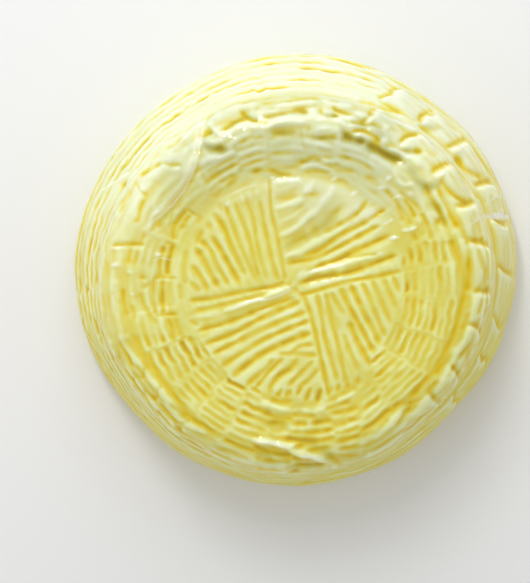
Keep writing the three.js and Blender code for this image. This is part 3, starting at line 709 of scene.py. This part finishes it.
def shoulder_relief():
    """The trough and the fold outside the band, and the crumpled shoulder."""
    wander = 2.0 * noise(A / 18, 0, 341, 20)
    deep = plain * (0.55 + 0.35 * noise(A / 25, 0, 343, 14))
    trough = deep * np.exp(-((S - TROUGH - wander) / 2.4) ** 2)
    roll = deep * np.exp(-((S - ROLL - wander) / 3.2) ** 2)
    shoulder = ease(*SHOULDER_START, S) * (1 - ease(*SHOULDER_STOP, S))
    crumple = layered(A / 11 + 0.6 * noise(A / 9, S / 7, 351, 40), S / 6.5, 353, 33)
    fold = np.abs(layered(A / 9 + 0.5 * noise(A / 10, S / 9, 357, 36), S / 7.5, 359, 40))
    crease = np.exp(-(fold / 0.09) ** 2) * ease(-0.3, 0.5, noise(A / 20, S / 12, 361, 18))
    groove, _, _ = weave(columns=30, first=3, origin=87.5, pitch=6.2, seed=363,
                         lean=0.12, broken=0.9, jog=0.12)
    rough = 1.5 * (0.2 + 0.8 * plain) * crumple - plain * (0.9 * crease + 0.8 * groove)
    sunk = 0.6 * trough + shoulder * plain * (0.35 * crease + 0.5 * groove)
    return 1.2 * roll - 1.6 * trough + shoulder * rough, sunk


def side_relief():
    """Rings of ribs round the side, with long breaks, and the stepped blocks on the right."""
    side = ease(*SIDE_START, S) * (1 - ease(*SIDE_STOP, S))
    turn = (A + 180) % 360 - 180
    stepped = ease(-55, -40, turn) * (1 - ease(57, 72, turn))
    groove, joint, _ = weave(columns=36, first=4, origin=109.0, pitch=8.3, seed=371,
                             lean=0.05, broken=0.35, jog=0.3)
    calm = (1 - 0.65 * stepped) * (1 - 0.3 * sector(A, 272, 44)) * (1 + 0.5 * sector(A, 185, 40))
    calm = calm * np.clip(0.75 + 0.75 * noise(A / 14, S / 8.3, 373, 26), 0.1, 1.3)
    swells = 0.6 * layered(A / 12, S / 14, 374, 30)
    swells = swells + 0.5 * sector(A, 272, 60) * noise(A / 9, S / 16, 378, 40)
    steps, cracks = blocks()
    height = side * (swells - calm * (1.3 * groove + 0.3 * joint)) + steps - 0.8 * cracks
    return height, side * calm * 0.55 * groove + 0.4 * cracks


def uneven_relief():
    """Slow swells, a fine grain, dents in the heel, and strips along the ribs."""
    swells = 0.3 * layered(A / 30, S / 24, 381, 12) * ease(30, 60, S)
    grain = 0.06 * layered(A / 2, S / 2.2, 385, 180) * ease(55, 62, S)
    dents = layered(A / 8 + 0.4 * noise(A / 7, S / 6, 388, 52), S / 5.5, 389, 45)
    strips = layered(A / 18, S / 3.2, 387, 20, 2) * ease(60, 66, S)
    strips *= 0.2 + 0.25 * sector(A, 182, 52) * ease(90, 110, S)
    return swells + grain + 0.45 * dents * ease(152, 162, S) + strips, 0


ZONES = (marks_relief, disc_relief, band_relief, shoulder_relief, side_relief, uneven_relief)
height, sunk = np.zeros(len(S)), np.zeros(len(S))
for zone in ZONES:
    rise, depth = zone()
    height += rise
    sunk += depth
free = 1 - ease(*BASE_FADE, S)
height *= free
sunk = np.clip(sunk * free, 0, 1.25)

# Painted shade: the band and the shoulder at the top of the photograph are a little olive all over.
top = sector(A, 88, 44)
painted_top_shade = 0.23 * ease(58, 66, S) * (1 - ease(84, 92, S)) * sector(A, 98, 66)
painted_top_shade = painted_top_shade + 0.38 * ease(88, 93, S) * (1 - ease(103, 112, S)) * top
painted_olive_shade = np.maximum(painted_olive_shade, painted_top_shade)


def paleness_and_painted_light():
    """How pale the skin is, with painted light: palest on the top of the photo's side wall, which
    faces the key light, yellow low on the face, and a little deeper where sunk, a painted shade.
    """
    on_face = sum(share * ease(low, high, PY) for share, low, high in PALE_RISES)
    for share, x, y, wide, high in PALE_SPOTS:
        on_face += share * np.exp(-(((PX - x) / wide) ** 2 + ((PY - y) / high) ** 2))
    # Painted light: the side wall is paler the more it turns towards the key light.
    painted_light_on_wall = 0.1 + 0.95 * ease(-0.1, 1.0, np.cos(np.radians(A - PAINTED_LIGHT_WALL)))
    tone_and_painted_light = on_face + (painted_light_on_wall - on_face) * ease(78 + 18 * top, 105 + 14 * top, S)
    return np.clip(tone_and_painted_light + 0.1 * layered(X / 20, Y / 20, 391) - 0.15 * sunk, 0, 1)


# -------- the skin mesh
def walls(rings):
    """Quads between rings of points."""
    beside = np.roll(rings, -1, axis=1)
    return np.stack([rings[:-1], rings[1:], beside[1:], beside[:-1]], -1).reshape(-1, 4)


def skin_faces():
    """Quads of the face grid and of the rings out to the edge of the base."""
    n = FACE_STEPS + 1
    index = np.arange(n * n).reshape(n, n)
    grid = np.stack([index[:-1, :-1], index[:-1, 1:], index[1:, 1:], index[1:, :-1]], -1)
    rim = np.concatenate([index[:-1, -1], index[-1, :0:-1], index[:0:-1, 0], index[0, :-1]])
    rings = np.vstack([rim] + [n * n + k * STEPS_AROUND + np.arange(STEPS_AROUND)
                               for k in range(len(ring_s))])
    return np.vstack([grid.reshape(-1, 4), walls(rings)]), rings[-1]


def raised(by):
    points = bare + normal * by[:, None]
    points[:, 2] = np.maximum(points[:, 2], 0.0)
    return points


def neighbour_mean(values):
    totals = np.bincount(quads.ravel(), np.repeat(values[quads].sum(1), 4), len(values))
    return totals / (4 * np.bincount(quads.ravel(), minlength=len(values)))


def vertex_normals(points):
    corners = points[quads]
    across = np.cross(corners[:, 2] - corners[:, 0], corners[:, 3] - corners[:, 1])
    sums = [np.bincount(quads.ravel(), np.repeat(across[:, k], 4), len(points)) for k in range(3)]
    sums = np.stack(sums, 1)
    return sums / np.linalg.norm(sums, axis=1, keepdims=True)


def to_object(points):
    """The object lies with the photo's top towards -y and its right towards -x."""
    return points * [-1, -1, 1]


def film_over(height):
    """The film spans the grooves, so its gloss follows a smoother surface with its own creases."""
    film = height.copy()
    for step in range(FILM_PASSES):
        film = np.maximum(height - FILM_SLACK, neighbour_mean(film))
    taut = np.abs(layered(A / 7 + 0.8 * noise(A / 12, S / 9, 401, 30), S / 11, 403, 51, 2))
    film += 0.22 * np.exp(-(taut / 0.05) ** 2) + 0.12 * layered(A / 5, S / 5, 405, 72)
    return film + (0.5 + 0.35 * layered(A / 1.5, S / 2.2, 407, 240)) * creases_and_painted_glints


def shading(height, points):
    """Painted shade and highlight: how sunk each point is among its neighbours, 0 on a crest, 0.3 on the
    plain, 1 in a groove; the colour deepens in grooves as painted shade and pales on crests.

    It is more where the relief is sunk and low on the side wall, a painted shade; and less on the side of
    a rib that faces the top of the photograph, a painted highlight on the side towards the key light.
    """
    mean_height = height.copy()
    for step in range(RELIEF_PASSES):
        mean_height = neighbour_mean(mean_height)
    relief = height - mean_height
    crest = 0.3 + 0.15 * ease(DISC, DISC + 6, S)
    shade = 0.3 - 0.3 * np.clip(relief / crest, 0, 1) + 0.4 * np.clip(-relief / 0.55, 0, 1.2)
    # Painted shade: deeper where sunk and low on the side wall, most on the side away from the key light.
    shade += 0.2 * sunk + ease(130, 165, S) * (0.05 + 0.1 * sector(A, 270, 100))
    # Painted highlight on the side of a rib towards the key light, painted shade on the side away.
    shade -= 0.4 * np.clip((vertex_normals(points) - normal) @ PAINTED_LIGHT_SIDE, -0.5, 0.5)
    return np.clip(shade, 0, 1)


quads, last_ring = skin_faces()
for step in range(SOFT_PASSES):
    height = neighbour_mean(height)
skin = raised(height)
film_normal = to_object(vertex_normals(raised(film_over(height))))
shade = shading(height, skin)
gloss = 1 - 0.85 * ease(95, 120, S) * (1 - 0.7 * sector(A, 60, 80))
gloss *= 1 - 0.7 * ease(0.45, 0.85, shade) * ease(82, 90, S)


def with_base():
    """The skin's points with rings of the flat base and its middle, and all faces."""
    points, rings, count = [skin], [last_ring], len(skin)
    for share in BASE_RINGS:
        points.append(skin[last_ring] * [share, share, 0])
        rings.append(count + np.arange(STEPS_AROUND))
        count += STEPS_AROUND
    base = walls(np.vstack(rings))
    middle = np.stack([rings[-1], np.full(STEPS_AROUND, count), np.roll(rings[-1], -1)], -1)
    return np.vstack(points + [np.zeros((1, 3))]), np.vstack([quads, base]), middle


def make_mesh(name, points, quads, triangles):
    mesh = bpy.data.meshes.new(name)
    mesh.vertices.add(len(points))
    mesh.vertices.foreach_set("co", (to_object(points) / 1000).ravel())
    mesh.loops.add(quads.size + triangles.size)
    mesh.loops.foreach_set("vertex_index", np.concatenate([quads.ravel(), triangles.ravel()]))
    starts = np.concatenate([4 * np.arange(len(quads)), quads.size + 3 * np.arange(len(triangles))])
    mesh.polygons.add(len(starts))
    mesh.polygons.foreach_set("loop_start", starts)
    mesh.polygons.foreach_set("use_smooth", np.ones(len(starts), bool))
    mesh.update(calc_edges=True)
    mesh.validate()
    return mesh


def add_attribute(mesh, name, values, kind="FLOAT", field="value", rest=0):
    """Gives the skin's points their values, and the rest of the base one value."""
    out = np.zeros((len(mesh.vertices),) + values.shape[1:])
    out[:len(values)] = values
    out[len(values):] = rest
    mesh.attributes.new(name, kind, "POINT").data.foreach_set(field, out.ravel())


mesh = make_mesh("cheese_round", *with_base())
fields = {"shade": shade, "gloss": gloss, "tone_and_painted_light": paleness_and_painted_light(), "creases_and_painted_glints": creases_and_painted_glints, "painted_olive_shade": painted_olive_shade}
for name, values in fields.items():
    add_attribute(mesh, name, values)
add_attribute(mesh, "film", film_normal, "FLOAT_VECTOR", "vector", (0, 0, -1))

cheese = bpy.data.objects.new("cheese_round", mesh)
bpy.context.collection.objects.link(cheese)
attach(cheese, "root")
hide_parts("cheese_wheel")


# -------- materials
def srgb(r, g, b):
    def channel(v):
        v /= 255
        return v / 12.92 if v <= 0.04045 else ((v + 0.055) / 1.055) ** 2.4
    return (channel(r), channel(g), channel(b), 1.0)


def new_material(name):
    material = bpy.data.materials.new(name)
    material.use_nodes = True
    return material, material.node_tree, material.node_tree.nodes["Principled BSDF"].inputs


def set_inputs(inputs, tree, values):
    """Links each input that is given a socket, and sets the others."""
    for name, value in values.items():
        if isinstance(value, bpy.types.NodeSocket):
            tree.links.new(value, inputs[name])
        else:
            inputs[name].default_value = value


def attribute(tree, name, output="Fac"):
    node = tree.nodes.new("ShaderNodeAttribute")
    node.attribute_name = name
    return node.outputs[output]


def colour_ramp(tree, driver, *stops):
    ramp = tree.nodes.new("ShaderNodeValToRGB")
    elements = ramp.color_ramp.elements
    while len(elements) < len(stops):
        elements.new(0.5)
    for element, (place, colour) in zip(elements, stops):
        element.position, element.color = place, colour
    tree.links.new(driver, ramp.inputs["Fac"])
    return ramp.outputs["Color"]


def mixed(tree, blend, factor, a, b):
    node = tree.nodes.new("ShaderNodeMix")
    node.data_type, node.blend_type = "RGBA", blend
    set_inputs(node.inputs, tree, {"Factor": factor, "A": a, "B": b})
    return node.outputs["Result"]


def noise_texture(tree, scale, detail):
    coords = tree.nodes.new("ShaderNodeTexCoord")
    node = tree.nodes.new("ShaderNodeTexNoise")
    set_inputs(node.inputs, tree, {"Vector": coords.outputs["Object"], "Scale": scale, "Detail": detail})
    return node.outputs["Fac"]


def skin_colour(tree):
    """Yellow or pale by tone and painted light, deeper in the grooves and olive in places by painted
    shade, clouded, and white at the film's creases and at painted glints.
    """
    # The ramps deepen the colour in grooves as painted shade and pale it on crests as painted highlight.
    shade = attribute(tree, "shade")
    yellow = colour_ramp(tree, shade, (0.0, srgb(240, 244, 184)), (0.3, srgb(233, 225, 108)),
                         (0.7, srgb(238, 212, 30)), (1.0, srgb(229, 197, 6)))
    pale = colour_ramp(tree, shade, (0.0, srgb(238, 243, 224)), (0.3, srgb(230, 236, 200)),
                       (0.7, srgb(232, 223, 104)), (1.0, srgb(222, 198, 20)))
    clouds = colour_ramp(tree, noise_texture(tree, 45, 5), (0.3, (0.94, 0.93, 0.84, 1)), (0.7, WHITE))
    # Painted olive shade darkens the colour where the skin lies in shade.
    painted_shade_tint = colour_ramp(tree, attribute(tree, "painted_olive_shade"), (0.0, WHITE), (0.35, (0.86, 0.87, 0.84, 1)),
                       (1.0, (0.5, 0.5, 0.2, 1)))
    colour = mixed(tree, "MIX", attribute(tree, "tone_and_painted_light"), yellow, pale)
    colour = mixed(tree, "MULTIPLY", 1.0, colour, clouds)
    colour = mixed(tree, "MULTIPLY", 1.0, colour, painted_shade_tint)
    # White at the film's creases, and painted highlights where the film glints.
    return mixed(tree, "MIX", attribute(tree, "creases_and_painted_glints"), colour, srgb(248, 250, 234))


def cheese_material():
    material, tree, inputs = new_material("tuma_cheese")
    bump = tree.nodes.new("ShaderNodeBump")
    grain = noise_texture(tree, 420, 3)
    set_inputs(bump.inputs, tree, {"Strength": 0.2, "Distance": 0.0004, "Height": grain})
    to_world = tree.nodes.new("ShaderNodeVectorTransform")
    to_world.vector_type, to_world.convert_from, to_world.convert_to = "NORMAL", "OBJECT", "WORLD"
    tree.links.new(attribute(tree, "film", "Vector"), to_world.inputs["Vector"])
    set_inputs(inputs, tree, {
        "Base Color": skin_colour(tree),
        "Normal": bump.outputs["Normal"],
        "Roughness": 0.5,
        "Specular IOR Level": 0.2,
        "Subsurface Weight": 0.85,
        "Subsurface Radius": (1.0, 0.8, 0.35),
        "Subsurface Scale": 0.005,
        "Coat Weight": attribute(tree, "gloss"),
        "Coat Roughness": 0.12,
        "Coat IOR": 1.5,
        "Coat Normal": to_world.outputs["Vector"],
    })
    return material


def floor_material():
    material, tree, inputs = new_material("floor_white")
    set_inputs(inputs, tree, {"Base Color": (0.9, 0.9, 0.9, 1), "Roughness": 0.9})
    return material


cheese.data.materials.append(cheese_material())

# -------- floor, light and camera
bpy.ops.mesh.primitive_plane_add(size=FLOOR_SIZE, location=(0, 0, FLOOR_Z))
floor = bpy.context.object
floor.name = "floor"
floor.data.materials.append(floor_material())


def to_scene(point):
    return Vector(to_object(np.array(point, float)) / 1000)


def area_light(name, place, width, height, power):
    data = bpy.data.lights.new(name, "AREA")
    data.shape = "RECTANGLE"
    data.energy, data.size, data.size_y = power, width, height
    lamp = bpy.data.objects.new(name, data)
    lamp.location = to_scene(place)
    aim = to_scene((0, 0, HEIGHT / 2)) - lamp.location
    lamp.rotation_euler = aim.to_track_quat("-Z", "Y").to_euler()
    bpy.context.collection.objects.link(lamp)


area_light("key", place=(-150, 1190, 690), width=1.2, height=1.2, power=8.4)
area_light("fill", place=(-1250, -250, 450), width=0.9, height=0.9, power=0.8)
area_light("sparkle", place=(-260, 900, 1150), width=0.16, height=0.6, power=5.0)

world = bpy.data.worlds.new("studio")
world.use_nodes = True
set_inputs(world.node_tree.nodes["Background"].inputs, world.node_tree,
           {"Color": WHITE, "Strength": SKY_STRENGTH})
bpy.context.scene.world = world
bpy.context.scene.view_settings.view_transform = "Standard"

camera_data = bpy.data.cameras.new("camera")
camera_data.sensor_width = SENSOR
camera_data.lens = FOCAL_PX * SENSOR / PHOTO_H
camera = bpy.data.objects.new("camera", camera_data)
axes = [Vector(to_object(v)) for v in (RIGHT, UP, BACK)]
camera.matrix_world = Matrix.Translation(to_scene(EYE)) @ Matrix(axes).transposed().to_4x4()
bpy.context.collection.objects.link(camera)
bpy.context.scene.camera = camera
